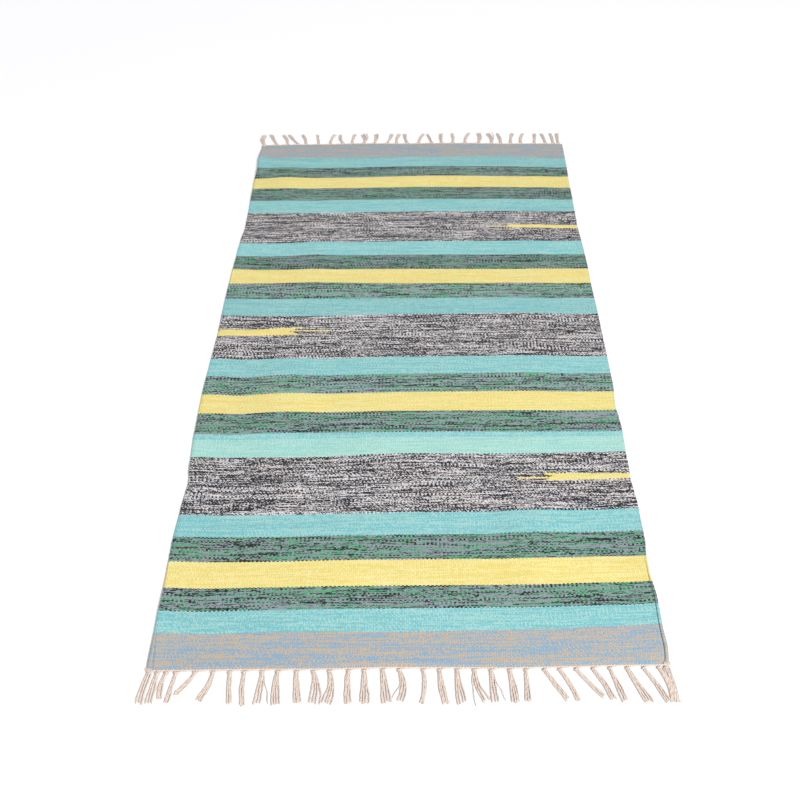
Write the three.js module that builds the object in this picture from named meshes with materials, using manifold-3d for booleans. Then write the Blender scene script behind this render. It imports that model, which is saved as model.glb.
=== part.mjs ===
// Flat-woven cotton rug with a tied warp fringe at both ends, lying on a floor.
// Millimetres, +Z up. X runs across the rug and Y along it, with the near end at -Y.
// The part's origin is the middle of its outline, at floor level.
import * as THREE from "three";
import { mergeVertices } from "three/addons/utils/BufferGeometryUtils.js";
import Module from "manifold-3d";

// Driving dimensions
const RUG_WIDTH = 800;
const RUG_LENGTH = 1500;
const CLOTH_THICKNESS = 3;
const PARTING = 0.3; // gap between the cloth's end and the heading cord of its fringe
const HEADING_WIDTH = 5.5;
const HEADING_HEIGHT = 2.8;
const STRAND_WIDTH = 2.7; // one lock of two or three warp yarns
const STRAND_HEIGHT = 2.4;
const STRAND_TAPER = 0.75; // tip size over root size
const STRAND_STEPS = 3;
const ROOT_BUNDLE_WIDTH = 5.5; // the yarns of a tassel leave the heading through one knot
const EDGE_CURL_REACH = 70; // how far a side's upward curl reaches into the rug
const CLOTH_COLUMNS = 20;
const CLOTH_ROWS = 48;

// Section of the corded side edge: distance in from the edge, top and underside heights
const SELVEDGE = [
  { inset: 0, top: 3.0, under: 1.0 },
  { inset: 2.2, top: 4.3, under: 0 },
  { inset: 5.6, top: 4.3, under: 0 },
  { inset: 8.2, top: 2.3, under: 0 },
  { inset: 11.5, top: CLOTH_THICKNESS, under: 0 },
];

// Unevenness of the two side edges: outward offset and upward curl at places along the rug
const SIDES = [
  { y: -750, leftOut: -2.8, rightOut: -2, leftCurl: 0, rightCurl: 0 },
  { y: -720, leftOut: -3.5, rightOut: 0.2, leftCurl: 1.6, rightCurl: 2.9 },
  { y: -690, leftOut: -4.2, rightOut: -1.3, leftCurl: 2.6, rightCurl: 4.6 },
  { y: -640, leftOut: -2.9, rightOut: -0.9, leftCurl: 3, rightCurl: 5 },
  { y: -595, leftOut: -3.2, rightOut: -3.6, leftCurl: 2.5, rightCurl: 4.6 },
  { y: -565, leftOut: -1.8, rightOut: -4.3, leftCurl: 1.5, rightCurl: 3.6 },
  { y: -520, leftOut: 0, rightOut: -0.7, leftCurl: 1, rightCurl: 2.6 },
  { y: -470, leftOut: -1, rightOut: -0.6, leftCurl: 0.6, rightCurl: 1.2 },
  { y: -445, leftOut: -1.8, rightOut: 0.5, leftCurl: 0.5, rightCurl: 0.6 },
  { y: -395, leftOut: -4.8, rightOut: -2.5, leftCurl: 0.8, rightCurl: 0.6 },
  { y: -350, leftOut: -0.2, rightOut: -1.5, leftCurl: 1.4, rightCurl: 1 },
  { y: -320, leftOut: 1.8, rightOut: 1.1, leftCurl: 1.5, rightCurl: 1 },
  { y: -275, leftOut: 4, rightOut: 0.4, leftCurl: 1.3, rightCurl: 1.2 },
  { y: -220, leftOut: 5.5, rightOut: -2.6, leftCurl: 1.1, rightCurl: 1.5 },
  { y: -155, leftOut: 6.6, rightOut: 1, leftCurl: 0.9, rightCurl: 1.3 },
  { y: -95, leftOut: 4.9, rightOut: 1.4, leftCurl: 0.6, rightCurl: 0.7 },
  { y: -45, leftOut: 3.6, rightOut: 0.6, leftCurl: 0.5, rightCurl: 0.5 },
  { y: 5, leftOut: 2.4, rightOut: 0.8, leftCurl: 0.6, rightCurl: 0.6 },
  { y: 70, leftOut: 3.2, rightOut: 0.9, leftCurl: 0.9, rightCurl: 0.9 },
  { y: 140, leftOut: 2.8, rightOut: -0.5, leftCurl: 1, rightCurl: 1 },
  { y: 200, leftOut: 1.6, rightOut: 0.3, leftCurl: 1.3, rightCurl: 0.7 },
  { y: 280, leftOut: -0.4, rightOut: -0.6, leftCurl: 1.4, rightCurl: 0.6 },
  { y: 330, leftOut: -2.1, rightOut: -2.4, leftCurl: 1, rightCurl: 1.1 },
  { y: 375, leftOut: -5.4, rightOut: -4.4, leftCurl: 0.5, rightCurl: 1.5 },
  { y: 440, leftOut: -5.2, rightOut: -3.3, leftCurl: 0.7, rightCurl: 1.5 },
  { y: 520, leftOut: -3.5, rightOut: -2.7, leftCurl: 1.7, rightCurl: 1.5 },
  { y: 580, leftOut: -3.2, rightOut: -1.8, leftCurl: 2.2, rightCurl: 1.5 },
  { y: 640, leftOut: -4.3, rightOut: -0.7, leftCurl: 5, rightCurl: 1.8 },
  { y: 680, leftOut: -2.3, rightOut: 0, leftCurl: 6, rightCurl: 2 },
  { y: 750, leftOut: -2.5, rightOut: 0.8, leftCurl: 0, rightCurl: 0 },
];

// Unevenness of the two ends: offset along Y at places across the rug
const ENDS = [
  { x: -400, near: -1.8, far: -10 },
  { x: -300, near: -1.6, far: -8 },
  { x: -215, near: -1.6, far: -7 },
  { x: -150, near: -2.6, far: -4.5 },
  { x: -100, near: -1.7, far: -4.5 },
  { x: -30, near: -0.4, far: -5.8 },
  { x: 60, near: -2.4, far: -5 },
  { x: 150, near: -4, far: -5.5 },
  { x: 200, near: -3.6, far: -8 },
  { x: 265, near: -3, far: -10 },
  { x: 310, near: -1.4, far: -10 },
  { x: 400, near: -1.2, far: -11 },
];

// Soft swells where the cloth stands off the floor: centre, half sizes and height
const SWELLS = [
  { x: -250, y: -175, halfX: 95, halfY: 190, height: 4.5 },
  { x: 215, y: -490, halfX: 85, halfY: 130, height: 5 },
  { x: -215, y: 270, halfX: 80, halfY: 120, height: 3 },
  { x: -320, y: 555, halfX: 85, halfY: 175, height: 4.5 },
  { x: 300, y: 330, halfX: 90, halfY: 210, height: 3.5 },
  { x: 290, y: 10, halfX: 110, halfY: 150, height: 2.5 },
  { x: -120, y: -560, halfX: 120, halfY: 110, height: 2 },
  { x: 60, y: 600, halfX: 170, halfY: 90, height: 2.5 },
];

// Tassels of the near end: where one is tied, where its tip lies, its length out of the
// heading, how far its tip fans out, how far its middle bows sideways, and its locks
const NEAR_TASSELS = [
  { root: -391, tip: -395, length: 47, fan: 8, bow: -2, locks: 3 },
  { root: -379, tip: -383, length: 46, fan: 7, bow: -1, locks: 2 },
  { root: -366, tip: -370, length: 43, fan: 6, bow: -3, locks: 2 },
  { root: -350, tip: -356, length: 46, fan: 8, bow: 0, locks: 3 },
  { root: -321, tip: -346, length: 34, fan: 8, bow: 2, locks: 3 },
  { root: -294, tip: -308, length: 44, fan: 11, bow: 2, locks: 4 },
  { root: -269, tip: -263, length: 49, fan: 9, bow: 0, locks: 3 },
  { root: -247, tip: -244, length: 52, fan: 9, bow: -1, locks: 3 },
  { root: -220, tip: -223, length: 51, fan: 12, bow: 1, locks: 3 },
  { root: -196, tip: -194, length: 52, fan: 15, bow: -2, locks: 4 },
  { root: -169, tip: -161, length: 50, fan: 10, bow: -2, locks: 3 },
  { root: -143, tip: -137, length: 50, fan: 11, bow: 4, locks: 3 },
  { root: -119, tip: -120, length: 51, fan: 15, bow: 5, locks: 4 },
  { root: -89, tip: -87, length: 51, fan: 12, bow: -2, locks: 4 },
  { root: -66, tip: -64, length: 51, fan: 15, bow: 1, locks: 4 },
  { root: -38, tip: -30, length: 52, fan: 16, bow: 0, locks: 4 },
  { root: -14, tip: -11, length: 49, fan: 11, bow: 7, locks: 3 },
  { root: 23, tip: 20, length: 52, fan: 8, bow: 4, locks: 3 },
  { root: 48, tip: 57, length: 52, fan: 12, bow: -1, locks: 4 },
  { root: 75, tip: 81, length: 52, fan: 15, bow: -1, locks: 4 },
  { root: 101, tip: 117, length: 49, fan: 12, bow: -3, locks: 3 },
  { root: 126, tip: 130, length: 51, fan: 12, bow: 0, locks: 3 },
  { root: 154, tip: 160, length: 51, fan: 13, bow: 1, locks: 4 },
  { root: 179, tip: 178, length: 51, fan: 9, bow: 0, locks: 3 },
  { root: 206, tip: 238, length: 49, fan: 9, bow: 2, locks: 3 },
  { root: 229, tip: 253, length: 50, fan: 8, bow: 4, locks: 3 },
  { root: 254, tip: 292, length: 44, fan: 8, bow: 1, locks: 3 },
  { root: 280, tip: 306, length: 49, fan: 10, bow: 3, locks: 3 },
  { root: 306, tip: 322, length: 53, fan: 10, bow: 1, locks: 3 },
  { root: 331, tip: 350, length: 55, fan: 12, bow: -3, locks: 4 },
  { root: 357, tip: 381, length: 54, fan: 8, bow: 0, locks: 3 },
  { root: 376, tip: 388, length: 51, fan: 6, bow: -1, locks: 2 },
  { root: 390, tip: 399, length: 51, fan: 8, bow: -1, locks: 3 },
];

// Tassels of the far end, with the same columns
const FAR_TASSELS = [
  { root: -391, tip: -396, length: 50, fan: 15, bow: -6, locks: 4 },
  { root: -358, tip: -380, length: 51, fan: 9, bow: -2, locks: 3 },
  { root: -330, tip: -347, length: 49, fan: 9, bow: 3, locks: 3 },
  { root: -301, tip: -331, length: 48, fan: 8, bow: -3, locks: 3 },
  { root: -281, tip: -295, length: 48, fan: 9, bow: 2, locks: 3 },
  { root: -248, tip: -256, length: 48, fan: 7, bow: 1, locks: 2 },
  { root: -216, tip: -206, length: 48, fan: 9, bow: -3, locks: 3 },
  { root: -182, tip: -192, length: 45, fan: 9, bow: -4, locks: 3 },
  { root: -158, tip: -152, length: 46, fan: 8, bow: -2, locks: 3 },
  { root: -128, tip: -134, length: 46, fan: 12, bow: 6, locks: 3 },
  { root: -99, tip: -96, length: 46, fan: 11, bow: 3, locks: 3 },
  { root: -65, tip: -53, length: 47, fan: 9, bow: 2, locks: 3 },
  { root: -40, tip: -33, length: 48, fan: 9, bow: -2, locks: 3 },
  { root: -11, tip: -19, length: 48, fan: 9, bow: -2, locks: 3 },
  { root: 18, tip: 33, length: 47, fan: 9, bow: -1, locks: 3 },
  { root: 54, tip: 42, length: 45, fan: 6, bow: 0, locks: 2 },
  { root: 81, tip: 80, length: 48, fan: 10, bow: -2, locks: 3 },
  { root: 110, tip: 109, length: 49, fan: 8, bow: 2, locks: 3 },
  { root: 143, tip: 156, length: 49, fan: 9, bow: -3, locks: 3 },
  { root: 178, tip: 181, length: 50, fan: 13, bow: 4, locks: 4 },
  { root: 213, tip: 205, length: 51, fan: 11, bow: 4, locks: 3 },
  { root: 238, tip: 231, length: 51, fan: 9, bow: 2, locks: 3 },
  { root: 265, tip: 273, length: 51, fan: 9, bow: -2, locks: 3 },
  { root: 292, tip: 301, length: 50, fan: 9, bow: -3, locks: 3 },
  { root: 327, tip: 333, length: 50, fan: 8, bow: 1, locks: 3 },
  { root: 358, tip: 351, length: 50, fan: 8, bow: 0, locks: 3 },
  { root: 378, tip: 374, length: 51, fan: 8, bow: 1, locks: 3 },
  { root: 392, tip: 393, length: 51, fan: 8, bow: -1, locks: 3 },
];

const wasm = await Module();
wasm.setup();

// A table's column at a place, eased smoothly from one row to the next.
function eased(table, place, column, at) {
  const next = table.findIndex((row) => row[place] > at);
  if (next === 0) return table[0][column];
  if (next < 0) return table[table.length - 1][column];
  const before = table[next - 1];
  const after = table[next];
  const share = THREE.MathUtils.smoothstep(at, before[place], after[place]);
  return THREE.MathUtils.lerp(before[column], after[column], share);
}

const leftEdge = (y) => -RUG_WIDTH / 2 - eased(SIDES, "y", "leftOut", y);
const rightEdge = (y) => RUG_WIDTH / 2 + eased(SIDES, "y", "rightOut", y);
const nearEnd = (x) => -RUG_LENGTH / 2 + eased(ENDS, "x", "near", x);
const farEnd = (x) => RUG_LENGTH / 2 + eased(ENDS, "x", "far", x);

// How far the cloth's underside stands off the floor.
function lift(x, y) {
  let height = 0;
  for (const swell of SWELLS) {
    const away = ((x - swell.x) / swell.halfX) ** 2 + ((y - swell.y) / swell.halfY) ** 2;
    if (away < 1) height += swell.height * (1 - away) ** 2;
  }
  const leftShare = Math.max(0, 1 - (x - leftEdge(y)) / EDGE_CURL_REACH);
  const rightShare = Math.max(0, 1 - (rightEdge(y) - x) / EDGE_CURL_REACH);
  height += eased(SIDES, "y", "leftCurl", y) * leftShare ** 2;
  height += eased(SIDES, "y", "rightCurl", y) * rightShare ** 2;
  return height;
}

// A closed geometry from a grid of sections: each section is a ring of points in the same
// order, skinned to the next. The first half of a ring runs out over the top and the second
// half back under it, so the end sections are closed by steps from top to underside.
function skinned(sections) {
  const ring = sections[0].length;
  const triangles = [];
  for (let s = 0; s + 1 < sections.length; s++) {
    for (let p = 0; p < ring; p++) {
      const a = s * ring + p;
      const b = s * ring + ((p + 1) % ring);
      triangles.push(a, b, a + ring, b, b + ring, a + ring);
    }
  }
  const last = (sections.length - 1) * ring;
  for (let p = 0; p + 1 < ring / 2; p++) {
    const under = ring - 1 - p;
    triangles.push(p, under - 1, p + 1, p, under, under - 1);
    triangles.push(last + p, last + p + 1, last + under - 1);
    triangles.push(last + p, last + under - 1, last + under);
  }
  const geometry = new THREE.BufferGeometry().setFromPoints(sections.flat());
  geometry.setIndex(triangles);
  return geometry;
}

// Columns across the cloth: the two corded edges and even steps between them.
function clothColumns() {
  const left = SELVEDGE.map((row) => ({ ...row, side: -1, share: 0 }));
  const right = SELVEDGE.map((row) => ({ ...row, side: 1, share: 1 })).reverse();
  const inner = [];
  for (let i = 1; i < CLOTH_COLUMNS; i++) {
    inner.push({ side: 0, share: i / CLOTH_COLUMNS, top: CLOTH_THICKNESS, under: 0 });
  }
  return [...left, ...inner, ...right];
}

// Where a column lies across the rug at a place along it.
function columnX(column, plainY) {
  const left = leftEdge(plainY);
  const right = rightEdge(plainY);
  if (column.side < 0) return left + column.inset;
  if (column.side > 0) return right - column.inset;
  const plainInset = SELVEDGE[SELVEDGE.length - 1].inset;
  return THREE.MathUtils.lerp(left + plainInset, right - plainInset, column.share);
}

// The woven cloth: one solid, each section a strip across the rug, top then underside.
function clothGeometry() {
  const columns = clothColumns();
  const sections = [];
  for (let row = 0; row <= CLOTH_ROWS; row++) {
    const share = row / CLOTH_ROWS;
    const plainY = THREE.MathUtils.lerp(-RUG_LENGTH / 2, RUG_LENGTH / 2, share);
    const point = (column, height) => {
      const x = columnX(column, plainY);
      const nearShift = (nearEnd(x) + RUG_LENGTH / 2) * (1 - share) ** 3;
      const farShift = (farEnd(x) - RUG_LENGTH / 2) * share ** 3;
      return new THREE.Vector3(x, plainY + nearShift + farShift, lift(x, plainY) + height);
    };
    const top = columns.map((column) => point(column, column.top));
    const underside = columns.map((column) => point(column, column.under)).reverse();
    sections.push([...top, ...underside]);
  }
  return skinned(sections);
}

// A trapezoid section standing on the floor, square to a direction of travel in plan.
function lockSection(x, y, acrossX, acrossY, width, height) {
  const shoulder = 0.62; // top width over floor width
  const corner = (side, share, z) =>
    new THREE.Vector3(
      x + (side * share * acrossX * width) / 2,
      y + (side * share * acrossY * width) / 2,
      z,
    );
  return [
    corner(-1, 1, 0),
    corner(-1, shoulder, height),
    corner(1, shoulder, height),
    corner(1, 1, 0),
  ];
}

// The heading cord of one end, along the cloth's end and just clear of it.
function headingGeometry(end, outward) {
  const sections = clothColumns().map((column) => {
    const x = columnX(column, (outward * RUG_LENGTH) / 2);
    const y = end(x) + outward * (PARTING + HEADING_WIDTH / 2);
    return lockSection(x, y, 0, -1, HEADING_WIDTH, HEADING_HEIGHT);
  });
  return skinned(sections);
}

// The middle line of a tassel in plan: it leans from root to tip, bowed to one side.
function tasselLine(tassel, end, outward) {
  const startY = end(tassel.root) + outward * (PARTING + HEADING_WIDTH / 2);
  const length = tassel.length + HEADING_WIDTH / 2;
  return (t) => {
    const lean = (tassel.tip - tassel.root) * t ** 1.2;
    const bow = tassel.bow * Math.sin(Math.PI * t);
    return new THREE.Vector2(tassel.root + lean + bow, startY + outward * length * t);
  };
}

// One lock of a tassel, from inside the heading to its tip: it keeps its place across the
// tassel, which fans out from the knot. Lengths and heights differ a little from lock to lock.
function lockGeometry(tassel, lock, end, outward) {
  const place = lock / (tassel.locks - 1) - 0.5;
  const height = STRAND_HEIGHT * (1 - 0.07 * (lock % 3));
  const share = 1 - 0.04 * ((lock * 2) % 3);
  const line = tasselLine(tassel, end, outward);
  const sections = [];
  for (let step = 0; step <= STRAND_STEPS; step++) {
    const t = (share * step) / STRAND_STEPS;
    const travel = line(t + 0.01).sub(line(Math.max(0, t - 0.01))).normalize();
    const across = new THREE.Vector2(travel.y, -travel.x);
    const fan = THREE.MathUtils.lerp(ROOT_BUNDLE_WIDTH, tassel.fan, Math.min(1, 1.6 * t));
    const centre = line(t).addScaledVector(across, outward * place * fan);
    const size = THREE.MathUtils.lerp(1, STRAND_TAPER, t);
    const width = STRAND_WIDTH * size;
    sections.push(lockSection(centre.x, centre.y, across.x, across.y, width, height * size));
  }
  return skinned(sections);
}

// A closed geometry as a solid that can be joined to others, turned to face outwards.
function solidFrom(geometry) {
  const merged = mergeVertices(geometry, 1e-4);
  const vertProperties = merged.getAttribute("position").array;
  const triVerts = new Uint32Array(merged.index.array);
  const solid = new wasm.Manifold(new wasm.Mesh({ numProp: 3, vertProperties, triVerts }));
  if (solid.volume() > 0) return solid;
  for (let i = 0; i < triVerts.length; i += 3) {
    [triVerts[i + 1], triVerts[i + 2]] = [triVerts[i + 2], triVerts[i + 1]];
  }
  return new wasm.Manifold(new wasm.Mesh({ numProp: 3, vertProperties, triVerts }));
}

function geometryFrom(solid) {
  const { vertProperties, triVerts } = solid.getMesh();
  const geometry = new THREE.BufferGeometry();
  geometry.setAttribute("position", new THREE.BufferAttribute(vertProperties, 3));
  geometry.setIndex(new THREE.BufferAttribute(triVerts, 1));
  geometry.computeVertexNormals();
  return geometry;
}

// The fringe of one end: its heading with every lock of every tassel joined to it.
function fringeGeometry(tassels, end, outward) {
  let fringe = solidFrom(headingGeometry(end, outward));
  for (const tassel of tassels) {
    for (let lock = 0; lock < tassel.locks; lock++) {
      fringe = fringe.add(solidFrom(lockGeometry(tassel, lock, end, outward)));
    }
  }
  return geometryFrom(fringe);
}

function named(name, geometry, material) {
  const mesh = new THREE.Mesh(geometry, material);
  mesh.name = name;
  return mesh;
}

const wovenCotton = new THREE.MeshStandardMaterial({
  color: 0x8fc4bd,
  roughness: 0.92,
  metalness: 0,
});
const warpYarn = new THREE.MeshStandardMaterial({
  color: 0xebdcd2,
  roughness: 0.9,
  metalness: 0,
});

const rug = new THREE.Group();
rug.add(
  named("rug_cloth", geometryFrom(solidFrom(clothGeometry())), wovenCotton),
  named("fringe_near", fringeGeometry(NEAR_TASSELS, nearEnd, -1), warpYarn),
  named("fringe_far", fringeGeometry(FAR_TASSELS, farEnd, 1), warpYarn),
);

// The near fringe is longer than the far one, so the rug is moved to centre its outline.
const outline = new THREE.Box3().setFromObject(rug);
const middle = outline.getCenter(new THREE.Vector3());
rug.position.set(-middle.x, -middle.y, -outline.min.z);

const part = new THREE.Group();
part.add(rug);

export default part;
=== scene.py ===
"""A flat-woven cotton rug with a tied warp fringe at both ends, dressed over its solids.

Metres, +Z up. X runs across the rug and Y along it, away from the camera, and the floor is
z = 0. The tables below are in millimetres, as a maker would write them, and are turned into
metres where they are read. Each surface is a grid of points worked out with numpy.
"""

from __future__ import annotations

import logging
import math
from collections.abc import Callable, Sequence
from dataclasses import dataclass, field
from enum import Enum

import bpy
import numpy as np
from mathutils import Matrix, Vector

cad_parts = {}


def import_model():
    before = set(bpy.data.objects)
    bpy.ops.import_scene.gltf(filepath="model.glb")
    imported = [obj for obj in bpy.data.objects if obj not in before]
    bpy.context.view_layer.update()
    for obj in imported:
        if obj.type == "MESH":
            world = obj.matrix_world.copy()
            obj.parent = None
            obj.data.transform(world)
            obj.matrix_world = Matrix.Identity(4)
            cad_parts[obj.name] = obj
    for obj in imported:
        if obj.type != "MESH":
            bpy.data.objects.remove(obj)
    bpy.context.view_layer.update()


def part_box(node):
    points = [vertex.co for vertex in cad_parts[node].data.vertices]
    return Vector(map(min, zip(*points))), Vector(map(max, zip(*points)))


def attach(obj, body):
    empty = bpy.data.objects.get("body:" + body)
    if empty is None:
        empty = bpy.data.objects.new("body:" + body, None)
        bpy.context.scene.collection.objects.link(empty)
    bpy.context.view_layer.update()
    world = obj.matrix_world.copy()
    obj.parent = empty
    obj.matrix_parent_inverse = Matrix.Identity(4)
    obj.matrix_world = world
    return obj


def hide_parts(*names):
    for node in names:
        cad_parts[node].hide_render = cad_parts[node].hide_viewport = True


LOG = logging.getLogger("rug")
MM = 0.001
TURN = 2 * math.pi
IMAGE_WIDTH = 800.0
WEAVE_UV = "weave"
YARN_UV = "yarn"
WOVEN_SLOT = "woven_cotton"
YARN_SLOT = "warp_yarn"


def table(kind: type, *rows: tuple) -> tuple:
    """Makes a table's rows of one kind, each from a plain tuple in the order of its fields."""
    return tuple(kind(*row) for row in rows)


@dataclass(frozen=True)
class Side:
    """Unevenness of the two long edges at one place along the rug, in millimetres."""

    y: float
    left_out: float
    right_out: float
    left_curl: float
    right_curl: float


@dataclass(frozen=True)
class End:
    """Unevenness of the two ends at one place across the rug, in millimetres."""

    x: float
    near: float
    far: float


@dataclass(frozen=True)
class Swell:
    """A soft swell where the cloth stands off the floor, in millimetres."""

    x: float
    y: float
    half_x: float
    half_y: float
    height: float


@dataclass(frozen=True)
class Drift:
    """How far the wefts stray from straight at one place along the rug, in millimetres.

    Each column belongs to the place across that DRIFT_PLACES gives, and the middle one is
    straight by definition.
    """

    y: float
    left_edge: float
    left: float
    inner_left: float
    inner_right: float
    right: float
    right_edge: float
    middle: float = 0.0


@dataclass(frozen=True)
class Tassel:
    """One tassel: where it is tied, where its tip lies, and how it spreads, in millimetres.

    fan is the width of its tip, bow how far its middle swings sideways, stray how far one
    loose yarn wanders off, and base the width of its root.
    """

    root: float
    tip: float
    length: float
    fan: float
    bow: float
    locks: int
    stray: float = 0.0
    base: float = 6.0


SIDES = table(
    Side,  # y, left_out, right_out, left_curl, right_curl
    (-750, -3, -2, 0, 0),
    (-720, -3.5, 0, 1.5, 3),
    (-690, -4, -1.5, 2.5, 4.5),
    (-640, -3, -1, 3, 5),
    (-590, -3, -4, 2.5, 4.5),
    (-560, -1.5, -4, 1.5, 3.5),
    (-520, 0, -0.5, 1, 2.5),
    (-450, -1.5, 0.5, 0.5, 0.5),
    (-395, -5, -2.5, 1, 0.5),
    (-350, 0, -1.5, 1.5, 1),
    (-275, 4, 0.5, 1.5, 1),
    (-220, 5.5, -2.5, 1, 1.5),
    (-155, 6.5, 1, 1, 1.5),
    (-95, 5, 1.5, 0.5, 0.5),
    (5, 2.5, 1, 0.5, 0.5),
    (70, 3, 1, 1, 1),
    (140, 3, -0.5, 1, 1),
    (200, 1.5, 0.5, 1.5, 0.5),
    (280, -0.5, -0.5, 1.5, 0.5),
    (330, -2, -2.5, 1, 1),
    (375, -5.5, -4.5, 0.5, 1.5),
    (440, -5, -3.5, 0.5, 1.5),
    (520, -3.5, -2.5, 1.5, 1.5),
    (580, -3, -2, 2, 1.5),
    (640, -4.5, -0.5, 5, 2),
    (680, -2.5, 0, 6, 2),
    (750, -2.5, 1, 0, 0),
)

ENDS = table(
    End,  # x, near, far
    (-400, -2.5, -10),
    (-300, -2, -8),
    (-215, -2, -7),
    (-150, -2.5, -4.5),
    (-100, -2, -4.5),
    (-30, -1, -6),
    (60, -2.5, -5),
    (150, -4, -5.5),
    (200, -3.5, -8),
    (265, -3, -10),
    (310, -2, -10),
    (400, -2, -11),
)

SWELLS = table(
    Swell,  # x, y, half_x, half_y, height
    (-250, -175, 95, 190, 4.5),
    (215, -490, 85, 130, 5),
    (-215, 270, 80, 120, 3),
    (-320, 555, 85, 175, 4.5),
    (300, 330, 90, 210, 3.5),
    (290, 10, 110, 150, 2.5),
    (-120, -560, 120, 110, 2),
    (60, 600, 170, 90, 2.5),
)

DRIFTS = table(
    Drift,  # y, left_edge, left, inner_left, inner_right, right, right_edge
    (-750, 0, 0, 0, 0, 0, 0),
    (-690, 1, -1, 1, 1, 6, 7),
    (-650, -1, -2, 0, 0, 2, 2),
    (-560, 0, -2, -2, -1, 2, 1),
    (-460, -1, -3, -3, 0, 2, 4),
    (-330, -5, -7, -7, -3, -1, 0),
    (-270, -3, -4, -2, -2, -3, -3),
    (-150, -3, -7, -4, 1, -3, -4),
    (60, 0, -2, -4, 1, -4, -4),
    (160, 3, 4, 6, -1, -3, -4),
    (210, 2, 0, 0, -3, -4, -4),
    (310, -4, -5, -2, -1, -7, -4),
    (430, -4, -4, -4, -1, -5, -5),
    (510, -5, -9, -2, -2, -5, -10),
    (590, -8, -6, -3, 0, -2, -6),
    (680, -4, -2, -2, 0, -7, -13),
    (750, -3, -3, 0, 4, -4, -12),
)

DRIFT_PLACES = {
    "left_edge": -385,
    "left": -325,
    "inner_left": -215,
    "middle": 0,
    "inner_right": 215,
    "right": 325,
    "right_edge": 385,
}

NEAR_TASSELS = table(
    Tassel,  # root, tip, length, fan, bow, locks, stray, base
    (-390, -396, 48, 12, -2, 3, 0, 9),
    (-378, -382, 47, 12, -1, 3),
    (-364, -368, 40, 9, -3, 3),
    (-350, -356, 46, 8, 0, 3),
    (-321, -346, 34, 8, 2, 3),
    (-294, -308, 44, 11, 2, 4),
    (-269, -263, 49, 9, 0, 3),
    (-247, -244, 52, 9, -1, 3),
    (-220, -223, 51, 12, 1, 3, 13),
    (-196, -194, 52, 15, -2, 4),
    (-168, -161, 50, 13, -1, 4),
    (-143, -138, 50, 18, 4, 4),
    (-119, -120, 51, 15, 5, 4),
    (-89, -87, 51, 12, -2, 4),
    (-66, -64, 51, 15, 1, 4),
    (-38, -30, 52, 16, 0, 4),
    (-14, -11, 49, 11, 7, 3, -9),
    (23, 20, 52, 8, 4, 3),
    (48, 57, 52, 12, -1, 4),
    (75, 81, 52, 15, -1, 4),
    (101, 117, 49, 12, -3, 3, -13),
    (126, 130, 51, 12, 0, 3, 12),
    (154, 160, 51, 13, 1, 4),
    (179, 178, 51, 9, 0, 3),
    (206, 238, 49, 9, 2, 3),
    (229, 253, 50, 8, 4, 3),
    (254, 292, 44, 8, 1, 3),
    (280, 306, 49, 10, 3, 3),
    (306, 322, 53, 10, 1, 3),
    (332, 358, 56, 13, 1, 4),
    (357, 386, 55, 9, 3, 3),
    (380, 392, 54, 7, 5, 3),
    (391, 400, 55, 6, 2, 4, 0, 13),
)

FAR_TASSELS = table(
    Tassel,  # root, tip, length, fan, bow, locks, stray
    (-391, -396, 50, 15, -6, 4),
    (-358, -380, 51, 9, -2, 3),
    (-330, -347, 49, 9, 3, 3),
    (-301, -331, 48, 8, -3, 3),
    (-281, -295, 48, 9, 2, 3),
    (-248, -256, 48, 7, 1, 2),
    (-216, -206, 48, 9, -3, 3),
    (-182, -192, 45, 9, -4, 3),
    (-158, -152, 46, 8, -2, 3),
    (-128, -134, 46, 12, 6, 3, 9),
    (-99, -96, 46, 11, 3, 3),
    (-65, -53, 47, 9, 2, 3),
    (-40, -33, 48, 9, -2, 3),
    (-11, -19, 48, 9, -2, 3),
    (18, 33, 47, 9, -1, 3),
    (54, 42, 45, 6, 0, 2),
    (81, 80, 48, 10, -2, 3),
    (110, 109, 49, 8, 2, 3),
    (143, 156, 49, 9, -3, 3),
    (178, 181, 50, 13, 4, 4),
    (213, 205, 51, 11, 4, 3, 10),
    (238, 231, 51, 9, 2, 3),
    (265, 273, 51, 9, -2, 3),
    (292, 301, 50, 9, -3, 3),
    (327, 333, 50, 8, 1, 3),
    (358, 351, 50, 8, 0, 3),
    (378, 374, 51, 8, 1, 3),
    (392, 393, 51, 8, -1, 3),
)


@dataclass(frozen=True)
class Dye:
    """The two ply colours of a weft yarn in sRGB, and how much near-black runs through it."""

    first: tuple[int, int, int]
    second: tuple[int, int, int]
    dark_share: float = 0.0


class Weft(Enum):
    """The weft yarns of the stripes."""

    END_BAND = Dye(first=(137, 172, 199), second=(198, 179, 153))
    AQUA = Dye(first=(121, 191, 197), second=(164, 213, 209))
    PALE_AQUA = Dye(first=(156, 212, 202), second=(182, 226, 217))
    GREEN = Dye(first=(86, 165, 120), second=(154, 153, 168), dark_share=0.5)
    YELLOW = Dye(first=(234, 214, 122), second=(244, 231, 160))
    MARL = Dye(first=(40, 42, 52), second=(226, 222, 222), dark_share=0.4)


@dataclass(frozen=True)
class Stripe:
    """One woven stripe: its weft, its width along the rug in millimetres and how light its
    dye lot is."""

    weft: Weft
    width: float
    tone: float = 1.0


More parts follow.
